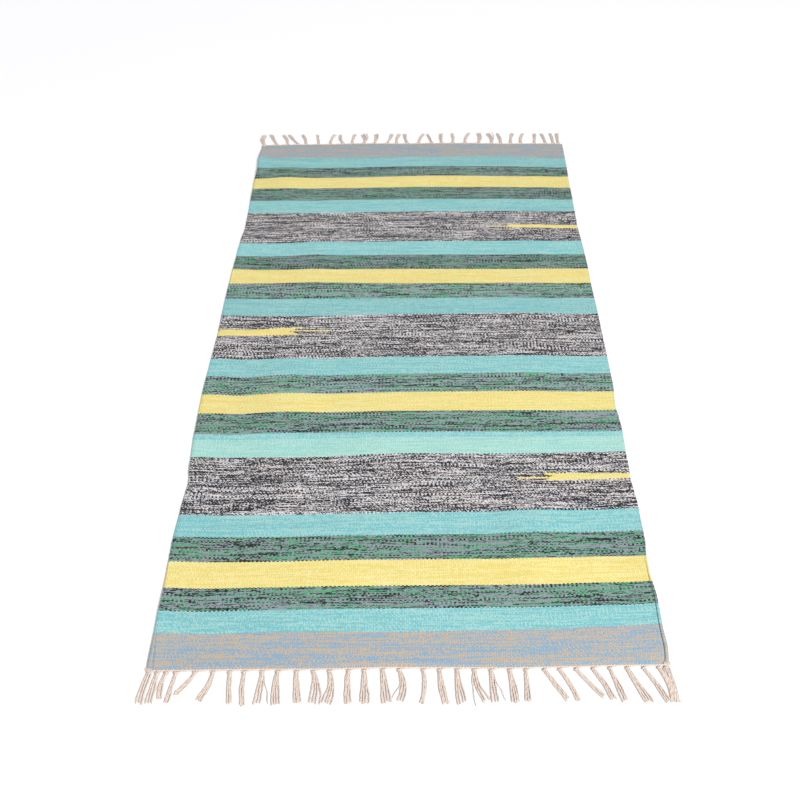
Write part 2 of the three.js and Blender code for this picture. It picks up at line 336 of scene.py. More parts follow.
STRIPES = table(
    Stripe,  # weft, width, tone where it differs
    (Weft.END_BAND, 57),
    (Weft.AQUA, 40.5),
    (Weft.GREEN, 42),
    (Weft.YELLOW, 50.5),
    (Weft.GREEN, 49),
    (Weft.AQUA, 47),
    (Weft.MARL, 133),
    (Weft.PALE_AQUA, 40.5),
    (Weft.AQUA, 13.5, 1.05),
    (Weft.GREEN, 53.5, 1.05),
    (Weft.YELLOW, 49),
    (Weft.GREEN, 51.5, 1.15),
    (Weft.AQUA, 48.5),
    (Weft.MARL, 131.5),
    (Weft.AQUA, 52, 0.95),
    (Weft.GREEN, 51, 1.15),
    (Weft.YELLOW, 51),
    (Weft.GREEN, 52.5, 0.88),
    (Weft.AQUA, 50.5, 1.05),
    (Weft.MARL, 120),
    (Weft.AQUA, 51.5),
    (Weft.GREEN, 52.5, 0.9),
    (Weft.YELLOW, 47.5),
    (Weft.GREEN, 47, 0.95),
    (Weft.AQUA, 45.5, 0.95),
    (Weft.END_BAND, 72, 0.95),
)


@dataclass(frozen=True)
class Inlay:
    """A short yellow run woven into a marl stripe from one side, in millimetres.

    low and high are its reach along the rug at the edge, and low_end and high_end at its
    tip. fork is how far the middle of the tip falls short. Its tail, three picks wide, runs
    on. The tip and the tail are measured from the edge.
    """

    from_left: bool
    low: float
    high: float
    low_end: float
    high_end: float
    tip: float
    fork: float
    tail_at: float
    tail: float


INLAYS = table(
    Inlay,  # from_left, low, high, low_end, high_end, tip, fork, tail_at, tail
    (False, 354, 366, 354, 372, 155, 16, 361, 206),
    (True, 743, 758, 748, 772, 171, 22, 761, 236),
    (False, 1114, 1127, 1116, 1128, 165, 4, 1121, 219),
)


@dataclass(frozen=True)
class Cord:
    """One corded long edge, in millimetres: the wefts turn round an outer warp bundle.

    It is wide at the near end and slims down to its plain width within its reach, and hook
    is how much wider it gets over the last few millimetres before the end. A groove parts
    it from the cloth: groove_depth deep at the near end, given painted shade that darkens
    it by groove_share, and faded out within groove_reach.
    """

    side: int
    wide: float
    plain: float
    reach: float
    hook: float
    groove_reach: float
    groove_depth: float
    groove_share: float
    seed: int


CORDS = table(
    Cord,  # side, wide, plain, reach, hook, groove_reach, groove_depth, groove_share, seed
    (-1, 9.6, 4.4, 75, 0, 60, 0.6, 0.12, 39),
    (1, 6.6, 3.9, 200, 3.4, 225, 1.2, 0.55, 41),
)


def smooth(share: np.ndarray) -> np.ndarray:
    """A share from 0 to 1 as a smooth step."""
    return share * share * (3 - 2 * share)


def eased(rows: Sequence[object], place: str, column: str, at: np.ndarray) -> np.ndarray:
    """Reads a table's column at places, with a smooth step from each row to the next.

    Args:
        rows: the table, in millimetres, in rising order of place.
        place: the name of the field that holds each row's place.
        column: the name of the field to read.
        at: where to read it, in metres.

    Returns:
        The column's value at each place, in metres.
    """
    places = np.array([getattr(row, place) for row in rows]) * MM
    values = np.array([getattr(row, column) for row in rows]) * MM
    spot = np.clip(at, places[0], places[-1])
    after = np.clip(np.searchsorted(places, spot, side="right"), 1, len(rows) - 1)
    share = smooth((spot - places[after - 1]) / (places[after] - places[after - 1]))
    return values[after - 1] + share * (values[after] - values[after - 1])


def soft_noise(x: np.ndarray, y: np.ndarray, cell: tuple[float, float], seed: int) -> np.ndarray:
    """Random heights from -1 to 1 on a lattice, joined by smooth steps.

    Args:
        x: places across, in metres.
        y: places along, in metres.
        cell: the lattice's step across and along, in metres.
        seed: the seed of the random heights.

    Returns:
        The height at each place.
    """
    size, shift = 64, 1000.0
    lattice = np.random.default_rng(seed).uniform(-1, 1, (size, size))
    across, along = x / cell[0] + shift, y / cell[1] + shift
    i, j = np.floor(across).astype(int), np.floor(along).astype(int)
    s, t = smooth(across - i), smooth(along - j)
    corner = [[lattice[(i + a) % size, (j + b) % size] for b in (0, 1)] for a in (0, 1)]
    near = corner[0][0] * (1 - s) + corner[1][0] * s
    far = corner[0][1] * (1 - s) + corner[1][1] * s
    return near * (1 - t) + far * t


def smooth_lines(controls: np.ndarray, samples: int) -> np.ndarray:
    """Smooth lines through control points: Catmull-Rom, the same count for each segment.

    Args:
        controls: points of shape (lines, controls, 3).
        samples: how many points each finished line has.

    Returns:
        Points of shape (lines, samples, 3).
    """
    before = 2 * controls[:, :1] - controls[:, 1:2]
    beyond = 2 * controls[:, -1:] - controls[:, -2:-1]
    padded = np.concatenate([before, controls, beyond], axis=1)
    spot = np.linspace(0, controls.shape[1] - 1, samples)
    first = np.minimum(spot.astype(int), controls.shape[1] - 2)
    t = (spot - first)[None, :, None]
    p0, p1, p2, p3 = (padded[:, first + k] for k in range(4))
    bend = (2 * p0 - 5 * p1 + 4 * p2 - p3) * t**2 + (3 * p1 - p0 - 3 * p2 + p3) * t**3
    return 0.5 * (2 * p1 + (p2 - p0) * t + bend)


@dataclass
class Faces:
    """Points, faces and their UVs, ready to go into one mesh."""

    points: np.ndarray
    quads: np.ndarray
    quad_uv: np.ndarray
    triangles: np.ndarray
    triangle_uv: np.ndarray

    def as_piece(self, name: str, uv_name: str) -> bpy.types.Object:
        """Puts the faces into a new smooth-shaded object at the origin.

        Args:
            name: the piece's name.
            uv_name: the name of its UV map.

        Returns:
            The new object, linked to the scene.
        """
        mesh = bpy.data.meshes.new(name)
        faces = self.quads.tolist() + self.triangles.tolist()
        mesh.from_pydata(self.points.tolist(), [], faces)
        layer = mesh.uv_layers.new(name=uv_name)
        corners = np.concatenate([self.quad_uv.ravel(), self.triangle_uv.ravel()])
        layer.data.foreach_set("uv", corners.astype(np.float32))
        mesh.shade_smooth()
        piece = bpy.data.objects.new(name, mesh)
        bpy.context.scene.collection.objects.link(piece)
        return piece


def swept(lines: np.ndarray, section: np.ndarray, uv: np.ndarray) -> Faces:
    """Tubes along lines: each point is the line's own point plus its section's offset.

    The section's first coordinate is measured sideways, square to the line and level, and
    its second upward, square to both. Both ends are closed by a fan.

    Args:
        lines: centre points of shape (lines, steps, 3).
        section: offsets of shape (lines, steps, sides, 2), in metres.
        uv: UVs of shape (lines, steps, sides + 1, 2); the last column closes the seam.

    Returns:
        The tubes' faces, pointing outwards.
    """
    count, steps, sides = section.shape[:3]
    travel = np.gradient(lines, axis=1)
    travel /= np.linalg.norm(travel, axis=2, keepdims=True)
    sideways = np.cross(travel, np.array([0.0, 0.0, 1.0]))
    sideways /= np.linalg.norm(sideways, axis=2, keepdims=True)
    upward = np.cross(sideways, travel)
    points = (
        lines[:, :, None]
        + section[..., :1] * sideways[:, :, None]
        + section[..., 1:] * upward[:, :, None]
    )
    index = np.arange(count * steps * sides).reshape(count, steps, sides)
    after = np.roll(index, -1, axis=2)
    quads = np.stack([index[:, :-1], index[:, 1:], after[:, 1:], after[:, :-1]], axis=-1)
    left, right = uv[:, :, :-1], uv[:, :, 1:]
    quad_uv = np.stack([left[:, :-1], left[:, 1:], right[:, 1:], right[:, :-1]], axis=-2)
    fan = np.arange(1, sides - 1)
    hub = np.zeros_like(fan)
    start = index[:, 0][:, np.stack([hub, fan, fan + 1], axis=-1)]
    finish = index[:, -1][:, np.stack([hub, fan + 1, fan], axis=-1)]
    start_uv = uv[:, 0][:, np.stack([hub, fan, fan + 1], axis=-1)]
    finish_uv = uv[:, -1][:, np.stack([hub, fan + 1, fan], axis=-1)]
    return Faces(
        points=points.reshape(-1, 3),
        quads=quads.reshape(-1, 4),
        quad_uv=quad_uv.reshape(-1, 4, 2),
        triangles=np.concatenate([start, finish]).reshape(-1, 3),
        triangle_uv=np.concatenate([start_uv, finish_uv]).reshape(-1, 3, 2),
    )


def yarn_tubes(lines: np.ndarray, radius: np.ndarray, sides: int) -> Faces:
    """Round yarns along lines, with UVs of the share round and the metres along.

    Args:
        lines: centre points of shape (lines, steps, 3).
        radius: the yarn's radius at each point, of shape (lines, steps).
        sides: how many sides each yarn has.

    Returns:
        The yarns' faces.
    """
    angle = TURN * np.arange(sides) / sides
    circle = np.stack([np.cos(angle), np.sin(angle)], axis=-1)
    section = radius[:, :, None, None] * circle
    steps = np.linalg.norm(np.diff(lines, axis=1), axis=2)
    along = np.concatenate([np.zeros((len(lines), 1)), np.cumsum(steps, axis=1)], axis=1)
    round_share = np.arange(sides + 1) / sides
    uv = np.stack(np.broadcast_arrays(round_share, along[:, :, None]), axis=-1)
    return swept(lines, section, uv)


@dataclass(frozen=True)
class RugShape:
    """The outline and lie of the rug: its sizes, its uneven edges and its swells."""

    width: float = 800 * MM
    length: float = 1500 * MM
    thickness: float = 3 * MM
    curl_reach: float = 70 * MM
    hook_reach: float = 9 * MM
    warp_pitch: float = 3.47 * MM
    pick_pitch: float = 1.16 * MM
    edge_samples: int = 2001
    offset: tuple[float, float] = (0.0, 0.0)

    @classmethod
    def in_frame(cls) -> RugShape:
        """The shape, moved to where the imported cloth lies."""
        plain = cls()
        low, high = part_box("rug_cloth")
        y = np.linspace(-plain.length / 2, plain.length / 2, plain.edge_samples)
        x = np.linspace(-plain.width / 2, plain.width / 2, plain.edge_samples)
        across = (plain.left(y).min() + plain.right(y).max()) / 2
        ends = [eased(ENDS, "x", column, x) for column in ("near", "far")]
        along = (ends[0].min() + ends[1].max()) / 2
        return cls(offset=((low.x + high.x) / 2 - across, (low.y + high.y) / 2 - along))

    def left(self, y: np.ndarray) -> np.ndarray:
        """The left edge's place across, at places along."""
        return -self.width / 2 - eased(SIDES, "y", "left_out", y)

    def right(self, y: np.ndarray) -> np.ndarray:
        """The right edge's place across, at places along."""
        return self.width / 2 + eased(SIDES, "y", "right_out", y)

    def end(self, x: np.ndarray, outward: int) -> np.ndarray:
        """An end's place along, at places across; outward is -1 for the near end."""
        column = "near" if outward < 0 else "far"
        return outward * self.length / 2 + eased(ENDS, "x", column, x)

    def lift(self, x: np.ndarray, y: np.ndarray) -> np.ndarray:
        """How far the cloth's underside stands off the floor: swells and curled edges.

        A swell is its height times (1 - d^2)^2, where d is the distance from its centre in
        half sizes, and an edge's curl falls off as the square of the way in to its reach.
        """
        height = np.zeros(np.broadcast(x, y).shape)
        for swell in SWELLS:
            across = (x - swell.x * MM) / (swell.half_x * MM)
            along = (y - swell.y * MM) / (swell.half_y * MM)
            height += swell.height * MM * np.maximum(0, 1 - across**2 - along**2) ** 2
        left = np.clip(1 - (x - self.left(y)) / self.curl_reach, 0, 1)
        right = np.clip(1 - (self.right(y) - x) / self.curl_reach, 0, 1)
        height += eased(SIDES, "y", "left_curl", y) * left**2
        height += eased(SIDES, "y", "right_curl", y) * right**2
        return height

    def stretched(self, x: np.ndarray, y: np.ndarray) -> np.ndarray:
        """Places along the lying rug from places along its plain, straight-ended form.

        The ends' unevenness fades away from each end as the cube of the share of the way.
        """
        share = (y + self.length / 2) / self.length
        near = (self.end(x, -1) + self.length / 2) * np.clip(1 - share, 0, 1) ** 3
        far = (self.end(x, 1) - self.length / 2) * np.clip(share, 0, 1) ** 3
        return y + near + far

    def moved(self, lines: np.ndarray) -> np.ndarray:
        """Points about the plain rug's own middle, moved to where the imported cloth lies."""
        return lines + np.array([*self.offset, 0.0])

    def placed(self, x: np.ndarray, y: np.ndarray, height: np.ndarray) -> np.ndarray:
        """Points of the lying rug from places on its plain, straight-ended form.

        Args:
            x: places across.
            y: places along, before the ends' unevenness.
            height: heights above the cloth's own underside.

        Returns:
            Points in the frame, with a last axis of three.
        """
        x, y, height = np.broadcast_arrays(x, y, height)
        z = self.lift(x, y) + height
        return self.moved(np.stack([x, self.stretched(x, y), z], axis=-1))

    def cord_width(self, cord: Cord, y: np.ndarray) -> np.ndarray:
        """A corded edge's width at places along: a smooth step over its reach, and its hook
        as the square of the way back to the near end."""
        along = y + self.length / 2
        share = smooth(np.clip(along / (cord.reach * MM), 0, 1))
        hook = cord.hook * np.clip(1 - along / self.hook_reach, 0, 1) ** 2
        return (cord.wide + (cord.plain - cord.wide) * share + hook) * MM

    def weave_uv(self, x: np.ndarray, y: np.ndarray) -> np.ndarray:
        """Metres across from the left edge and along from the near end, as woven.

        The warps follow the uneven edges, and the wefts stray a little from straight.
        """
        x, y = np.broadcast_arrays(x, y)
        places = np.array(list(DRIFT_PLACES.values())) * MM
        strays = np.stack([eased(DRIFTS, "y", column, y) for column in DRIFT_PLACES], axis=-1)
        after = np.clip(np.searchsorted(places, x), 1, len(places) - 1)
        share = (x - places[after - 1]) / (places[after] - places[after - 1])
        share = smooth(np.clip(share, 0, 1))
        low = np.take_along_axis(strays, (after - 1)[..., None], axis=-1)[..., 0]
        high = np.take_along_axis(strays, after[..., None], axis=-1)[..., 0]
        stray = low + share * (high - low)
        left, right = self.left(y), self.right(y)
        across = (x - left) / (right - left) * self.width
        along = self.stretched(x, y) + self.length / 2 - stray
        return np.stack([across, along], axis=-1)


@dataclass(frozen=True)
class WovenCloth:
    """The woven sheet between the two corded edges.

    Its edge steps, groove, relief, cockle and end rounding are in millimetres, and the cells
    of the two kinds of relief are in metres.
    """

    shape: RugShape
    top_per_under: int = 5
    top_columns: int = 196
    rows: int = 396
    edge_steps: tuple[float, ...] = (-1.2, -0.4, 0.3, 1.0, 1.9, 3.2, 5.5)
    groove_half: float = 0.8
    groove_fade: float = 0.8
    pick_relief: float = 0.14
    pick_cell: tuple[float, float] = (0.07, 0.0065)
    pick_seed: int = 11
    cockle: float = 0.35
    cockle_cell: tuple[float, float] = (0.045, 0.038)
    cockle_seed: int = 12
    end_rounding: float = 0.9
    end_reach: float = 1.5

    def grid(self) -> tuple[np.ndarray, np.ndarray]:
        """Places across and along of the sheet's top points, as (rows, columns) arrays."""
        shape = self.shape
        y = np.linspace(-shape.length / 2, shape.length / 2, self.rows)[:, None]
        steps = np.array(self.edge_steps) * MM
        left = shape.left(y) + shape.cord_width(CORDS[0], y) + steps
        right = shape.right(y) - shape.cord_width(CORDS[1], y) - steps[::-1]
        share = np.linspace(0, 1, self.top_columns - 2 * len(steps) + 2)[1:-1]
        inner = left[:, -1:] + (right[:, :1] - left[:, -1:]) * share
        x = np.concatenate([left, inner, right], axis=1)
        return x, np.broadcast_to(y, x.shape)

    def groove(self, x: np.ndarray, y: np.ndarray) -> np.ndarray:
        """How deep the grooves along the corded edges are, in millimetres."""
        shape = self.shape
        total = np.zeros(x.shape)
        along = y + shape.length / 2
        for cord in CORDS:
            edge = shape.left(y) if cord.side < 0 else shape.right(y)
            gap = np.abs(x - edge) - shape.cord_width(cord, y)
            fade = smooth(np.clip(along / (cord.groove_reach * MM), 0, 1))
            depth = cord.groove_depth * (1 - self.groove_fade * fade)
            total += depth * np.exp(-((gap / (self.groove_half * MM)) ** 2))
        return total

    def top_height(self, x: np.ndarray, y: np.ndarray) -> np.ndarray:
        """The top's height over the underside: even cloth with rounded ends, a groove
        inside each corded edge, and low relief of picks and of slack and tight places."""
        shape = self.shape
        picks = soft_noise(x, y, self.pick_cell, self.pick_seed)
        cockle = soft_noise(x, y, self.cockle_cell, self.cockle_seed)
        relief = self.pick_relief * picks + self.cockle * cockle
        relief = relief - self.groove(x, y)
        end_inset = (shape.length / 2 - np.abs(y)) / MM
        rounding = self.end_rounding * np.exp(-end_inset / self.end_reach)
        return shape.thickness + (relief - rounding) * MM

    def faces(self) -> Faces:
        """The closed sheet: each row is a ring of top points and fewer underside points."""
        x, y = self.grid()
        top = self.shape.placed(x, y, self.top_height(x, y))
        under_x, under_y = x[:, :: self.top_per_under], y[:, :: self.top_per_under]
        under = self.shape.placed(under_x, under_y, np.zeros_like(under_x))
        uv_top, uv_under = self.shape.weave_uv(x, y), self.shape.weave_uv(under_x, under_y)
        ring = np.concatenate([top, under[:, ::-1]], axis=1)
        ring_uv = np.concatenate([uv_top, uv_under[:, ::-1]], axis=1).reshape(-1, 2)
        rows, count = ring.shape[:2]
        index = np.arange(rows * count).reshape(rows, count)
        after = np.roll(index, -1, axis=1)
        quads = np.stack([index[:-1], after[:-1], after[1:], index[1:]], axis=-1).reshape(-1, 4)
        first = self.end_triangles(index[0], top.shape[1])
        last = self.end_triangles(index[-1], top.shape[1])[:, ::-1]
        triangles = np.concatenate([first, last])
        return Faces(ring.reshape(-1, 3), quads, ring_uv[quads], triangles, ring_uv[triangles])

    def end_triangles(self, ring: np.ndarray, top_count: int) -> np.ndarray:
        """Closes one end: each underside step takes a fan of the top steps above it."""
        top, under = ring[:top_count], ring[top_count:][::-1]
        step = self.top_per_under
        fans = [
            np.stack([under[:-1], top[k + 1 :: step], top[k:-1:step]], axis=-1)
            for k in range(step)
        ]
        fill = np.stack([under[:-1], under[1:], top[step::step]], axis=-1)
        return np.concatenate([*fans, fill])


@dataclass(frozen=True)
class CordedEdge:
    """One corded long edge, ridged by each turn of weft and with a few slack loops.

    half_height, loop_reach and the cord's own sizes are in millimetres. slimming is the part
    of its height that follows its width.
    """

    shape: RugShape
    cord: Cord
    half_height: float = 1.7
    slimming: float = 0.2
    step: float = 1.0 * MM
    sides: int = 14
    ridge_pitch: float = 4.4 * MM
    ridge: float = 0.13
    ridge_middle: float = 0.6
    loops: int = 34
    loop_reach: float = 1.5
    loop_sizes: tuple[float, float] = (0.2, 1.0)
    loop_half: float = 1.2 * MM
    end_taper: float = 0.3
    end_reach: float = 2.5 * MM
    near_gap: float = 2.5 * MM

    def faces(self) -> Faces:
        """A flat-oval tube along the edge, with its radius times a ridge.

        The ridge is the size of a sine whose phase leans round the cord, and each slack
        weft adds a narrow bell to the cord's outer side.
        """
        shape, side = self.shape, self.cord.side
        y = np.arange(-shape.length / 2 + self.near_gap, shape.length / 2, self.step)
        edge = shape.left(y) if side < 0 else shape.right(y)
        half_width = shape.cord_width(self.cord, y) / 2
        slimmed = 1 - self.slimming + self.slimming * half_width / half_width.max()
        half_height = self.half_height * MM * slimmed
        x = edge - side * half_width
        line = shape.placed(x, y, half_height)[None]
        angle = TURN * np.arange(self.sides) / self.sides
        turn = y[:, None] / self.ridge_pitch + angle / TURN
        ridge = 1 + self.ridge * (np.abs(np.sin(math.pi * turn)) - self.ridge_middle)
        end_inset = np.minimum(y - y[0], y[-1] - y)[:, None]
        ridge = ridge * (1 - self.end_taper * np.exp(-end_inset / self.end_reach))
        outward = np.maximum(0, side * np.cos(angle)) ** 2
        random = np.random.default_rng(self.cord.seed)
        spots = random.uniform(y[0], y[-1], self.loops)
        reaches = random.uniform(*self.loop_sizes, self.loops) ** 2 * self.loop_reach * MM
        bumps = np.exp(-(((y[:, None] - spots) / self.loop_half) ** 2)) @ reaches
        across = np.cos(angle) * half_width[:, None] * ridge
        across = across + side * outward * bumps[:, None]
        upward = np.sin(angle) * half_height[:, None] * ridge
        section = np.stack([across, upward], axis=-1)[None]
        plain = shape.weave_uv(x, y)
        closing = np.append(angle, TURN)
        u = plain[:, None, 0] + np.cos(closing) * half_width[:, None]
        v = np.broadcast_to(plain[:, None, 1], u.shape)
        return swept(line, section, np.stack([u, v], axis=-1)[None])


@dataclass(frozen=True)
class Fringe:
    """One end's fringe: warp yarns that run sideways into knots and out as tassels.

    Sizes are in millimetres. bends gives, on a warp's way along the heading to its tassel,
    the share of the way and the depth past the cloth's end. Every second yarn there lies a
    layer above the level of the first, and the yarns of a corner start deeper inside the
    cloth and higher, because the corded edge ends there. tip_taper thins a yarn's last two
    points, and yarn_sizes, lock_reaches and yarn_reaches are the least and the most.
    """

    shape: RugShape
    tassels: tuple[Tassel, ...]
    outward: int
    seed: int
    parting: float = 0.3
    bed: float = 0.05

    yarn_radius: float = 0.82
    yarn_sizes: tuple[float, float] = (0.9, 1.08)
    tip_taper: tuple[float, float] = (0.92, 0.6)
    yarns_per_lock: int = 3
    samples: int = 36
    sides: int = 6

    corner_inset: float = 2.0
    near_overlap: float = 1.0
    tied_inside: float = 3.0
    heading_width: float = 5.5
    bends: tuple[tuple[float, float], ...] = (
        (0.0, -2.0), (0.03, 0.6), (0.3, 1.9), (0.65, 2.6), (0.92, 4.0)
    )
    lane: float = 2.2
    lane_rate: float = 2.5
    level: float = 1.1
    layer: float = 1.25
    hem_rise: float = 1.3
    corner: float = 11.0
    corner_depth: float = -3.5
    corner_rise: float = 2.9

    lean_power: float = 1.2
    probe: float = 0.01
    free_start: float = 0.05
    free_steps: int = 17
    lock_reaches: tuple[float, float] = (0.95, 1.01)
    yarn_reaches: tuple[float, float] = (0.97, 1.02)
    least_spread: float = 1.6
    spread_rate: float = 1.3
    swing: float = 0.7
    swing_waves: tuple[float, float] = (4.5, 9.0)
    coil_radius: float = 0.62
    coil_pitch: float = 26.0
    loosening: float = 2.5
    loose_from: float = 0.8
    stray_power: float = 1.5
    stack: float = 1.5
    stack_fall: float = 2.2

    twine_inset: float = 4.5
    twine_steps: int = 1100
    twine_pitch: float = 8.5
    twine_depth: float = 1.1
    twine_rise: float = 1.9
    twine_swing: float = 0.4
    twine_radius: float = 1.05

    knot_samples: int = 22
    knot_turns: float = 1.5
    knot_ends: tuple[float, float] = (0.03, 0.12)
    knot_out: float = 0.8
    knot_margin: float = 0.9
    knot_drift: tuple[float, float] = (-0.7, 0.9)
    knot_rise: float = 1.9
    knot_half: float = 1.7
    knot_floor: float = 0.65
    knot_radius: float = 0.62
    knot_base: float = 6.0

    def hem(self, x: np.ndarray) -> np.ndarray:
        """The cloth's end at places across, in metres."""
        return self.shape.end(x, self.outward)

    def groups(self) -> list[tuple[Tassel, float, float]]:
        """Each tassel with the stretch of the cloth's end, in millimetres, that feeds it.

        On the near end a tassel is tied at the left of its stretch, and on the far end at
        the right, as one hand ties both ends facing the fringe.
        """
        edge = self.shape.width / 2 / MM - self.corner_inset
        roots = [tassel.root for tassel in self.tassels]
        if self.outward < 0:
            starts = [-edge, *[root - self.tied_inside for root in roots[1:]]]
            stops = [*starts[1:], edge + self.near_overlap]
        else:
            stops = [*[root + self.tied_inside for root in roots[:-1]], edge]
            starts = [-edge, *stops[:-1]]
        return list(zip(self.tassels, starts, stops))

    def tassel_line(self, tassel: Tassel, t: np.ndarray) -> np.ndarray:
        """A tassel's middle line in plan: a lean by a power of t and a sine bow."""
        root_x, half_heading = tassel.root * MM, self.heading_width / 2
        start = self.hem(np.array(root_x)) + self.outward * (self.parting + half_heading) * MM
        length = (tassel.length + half_heading) * MM
        lean = (tassel.tip - tassel.root) * MM * np.clip(t, 0, None) ** self.lean_power
        bow = tassel.bow * MM * np.sin(math.pi * t)
        return np.stack([root_x + lean + bow, start + self.outward * length * t], -1)

    def heading_controls(self, tassel: Tassel, start: float, stop: float) -> list[np.ndarray]:
        """Where a tassel's yarns leave the cloth and bend along the heading to its root.

        A yarn runs in its own lane, which is the wider the nearer its warp is to the root.

        Args:
            tassel: the tassel.
            start: where the stretch of cloth that feeds it starts, in millimetres.
            stop: where that stretch ends.

        Returns:
            Arrays of shape (yarns, 3), one for each step of the way.
        """
        count = tassel.locks * self.yarns_per_lock
        order = np.arange(count)
        warp_x = (start + (order + 0.5) / count * (stop - start)) * MM
        root_x = tassel.root * MM
        away = np.abs(warp_x - root_x) / max(np.abs(warp_x - root_x).max(), 1e-6)
        corner = np.abs(warp_x) > self.shape.width / 2 - self.corner * MM
        lane = self.lane * (1 - away)
        steps = []
        for share, depth in self.bends:
            rise = self.level + self.layer * (order % 2)
            if share == 0:
                depth = np.where(corner, self.corner_depth, depth)
                rise = np.where(corner, self.corner_rise, self.hem_rise)
            x = warp_x + (root_x - warp_x) * share
            reach = depth + lane * min(1.0, share * self.lane_rate)
            y = self.hem(x) + self.outward * reach * MM
            steps.append(np.stack([x, y, rise * MM], axis=-1))
        return steps

    def yarn_controls(
        self, tassel: Tassel, start: float, stop: float, random: np.random.Generator
    ) -> np.ndarray:
        """Control points of one tassel's yarns.

        Past the root the yarns lie in locks of a few, coiled loosely round each lock's own
        line: centre + across * place * fan(t), where place goes from -1/2 to 1/2. A lock
        swings by two sines, its coil loosens near the tip, and every second lock starts
        stacked on its neighbours.

        Args:
            tassel: the tassel.
            start: where the stretch of cloth that feeds it starts, in millimetres.
            stop: where that stretch ends.
            random: the source of its yarns' small differences.

        Returns:
            Points of shape (yarns, controls, 3).
        """
        heading = self.heading_controls(tassel, start, stop)
        count = tassel.locks * self.yarns_per_lock
        lock = np.arange(count) // self.yarns_per_lock
        if self.outward * (stop + start - 2 * tassel.root) > 0:
            lock = tassel.locks - 1 - lock
        place = lock / (tassel.locks - 1) - 0.5
        lean = random.uniform(-self.swing, self.swing, (tassel.locks, 2))[lock]
        turn = random.uniform(0, TURN, tassel.locks)[lock]
        turn = turn + TURN * np.arange(count) / self.yarns_per_lock
        reach = random.uniform(*self.lock_reaches, tassel.locks)[lock]
        reach = reach * random.uniform(*self.yarn_reaches, count)
        stray = np.zeros(count)
        stray[np.argmax(place * np.sign(tassel.stray))] = tassel.stray
        free = []
        for t in np.linspace(self.free_start, 1.0, self.free_steps):
            far = t * reach
            travel = self.tassel_line(tassel, far + self.probe)
            travel -= self.tassel_line(tassel, np.maximum(0, far - self.probe))
            travel /= np.linalg.norm(travel, axis=-1, keepdims=True)
            across = np.stack([travel[:, 1], -travel[:, 0]], axis=-1) * self.outward
            fan = tassel.base + (tassel.fan - tassel.base) * min(1.0, self.spread_rate * t)
            spread = max(self.least_spread, fan - 2 * (self.coil_radius + self.yarn_radius))
            slow, quick = (wave * t for wave in self.swing_waves)
            swing = lean[:, 0] * math.sin(slow + 1) + lean[:, 1] * math.sin(quick)
            coil = self.coil_radius * (1 + self.loosening * max(0.0, t - self.loose_from))
            angle = turn + TURN * t * tassel.length / self.coil_pitch
            offset = place * spread + swing * min(1.0, 2 * t) + coil * np.cos(angle)
            offset = offset + stray * t**self.stray_power
            plan = self.tassel_line(tassel, far) + across * offset[:, None] * MM
            stacked = (lock % 2) * self.stack * max(0.0, 1 - self.stack_fall * t)
            z = self.bed + self.yarn_radius + self.coil_radius * (1 + np.sin(angle)) + stacked
            free.append(np.concatenate([plan, z[:, None] * MM], axis=-1))
        return np.stack([*heading, *free], axis=1)

    def yarn_faces(self) -> Faces:
        """The warp yarns as round tubes, a little thinner at their cut tips."""
        random = np.random.default_rng(self.seed)
        controls = [self.yarn_controls(*group, random) for group in self.groups()]
        lines = self.shape.moved(smooth_lines(np.concatenate(controls), self.samples))
        lines[:, :, 2] = np.maximum(lines[:, :, 2], (self.yarn_radius + self.bed) * MM)
        taper = np.ones(self.samples)
        taper[-2:] = self.tip_taper
        random = np.random.default_rng(self.seed + 1)
        size = random.uniform(*self.yarn_sizes, (len(lines), 1)) * self.yarn_radius * MM
        return yarn_tubes(lines, size * taper, self.sides)

    def even_tubes(self, lines: np.ndarray, radius: float) -> Faces:
        """Round tubes of one radius, in millimetres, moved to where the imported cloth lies."""
        even = np.full(lines.shape[:2], radius * MM)
        return yarn_tubes(self.shape.moved(lines), even, self.sides)

    def heading_faces(self) -> Faces:
        """Two soft yarns twined round each other along the cloth's end."""
        half = self.shape.width / 2 - self.twine_inset * MM
        x = np.linspace(-half, half, self.twine_steps)
        phase = TURN * x / (self.twine_pitch * MM)
        lines = []
        for turn in (0.0, math.pi):
            depth = self.twine_depth + self.twine_swing * np.cos(phase + turn)
            rise = self.twine_rise + self.twine_swing * np.sin(phase + turn)
            lines.append(np.stack([x, self.hem(x) + self.outward * depth * MM, rise * MM], -1))
        return self.even_tubes(np.stack(lines), self.twine_radius)

    def knot_faces(self) -> Faces:
        """A turn and a half of yarn drawn tight round each tassel's root."""
        angle = np.linspace(0, self.knot_turns * TURN, self.knot_samples)[:, None]
        drift = np.linspace(*self.knot_drift, self.knot_samples)[:, None] * MM
        z = (self.knot_rise + self.knot_half * np.sin(angle)) * MM
        z = np.maximum(z, (self.knot_floor + self.bed) * MM)
        lines = []
        for tassel in self.tassels:
            first, second = self.tassel_line(tassel, np.array(self.knot_ends))
            travel = (second - first) / np.linalg.norm(second - first)
            across = np.array([travel[1], -travel[0]])
            half_width = min(tassel.base, self.knot_base) / 2 + self.knot_margin
            side = np.cos(angle) * half_width * MM
            plan = first + travel * self.knot_out * MM + across * side + travel * drift
            lines.append(np.concatenate([plan, z], axis=-1))
        return self.even_tubes(np.stack(lines), self.knot_radius)


def linear(srgb: tuple[int, int, int], gain: float = 1.0) -> tuple[float, float, float, float]:
    """An sRGB colour from 0 to 255 as linear shader values.

    Args:
        srgb: red, green and blue.
        gain: a factor on the linear values.

    Returns:
        Linear red, green, blue and an alpha of 1.
    """
    share = np.array(srgb) / 255
    low, high = share / 12.92, ((share + 0.055) / 1.055) ** 2.4
    red, green, blue = np.clip(np.where(share <= 0.04045, low, high) * gain, 0, 1)
    return float(red), float(green), float(blue), 1.0


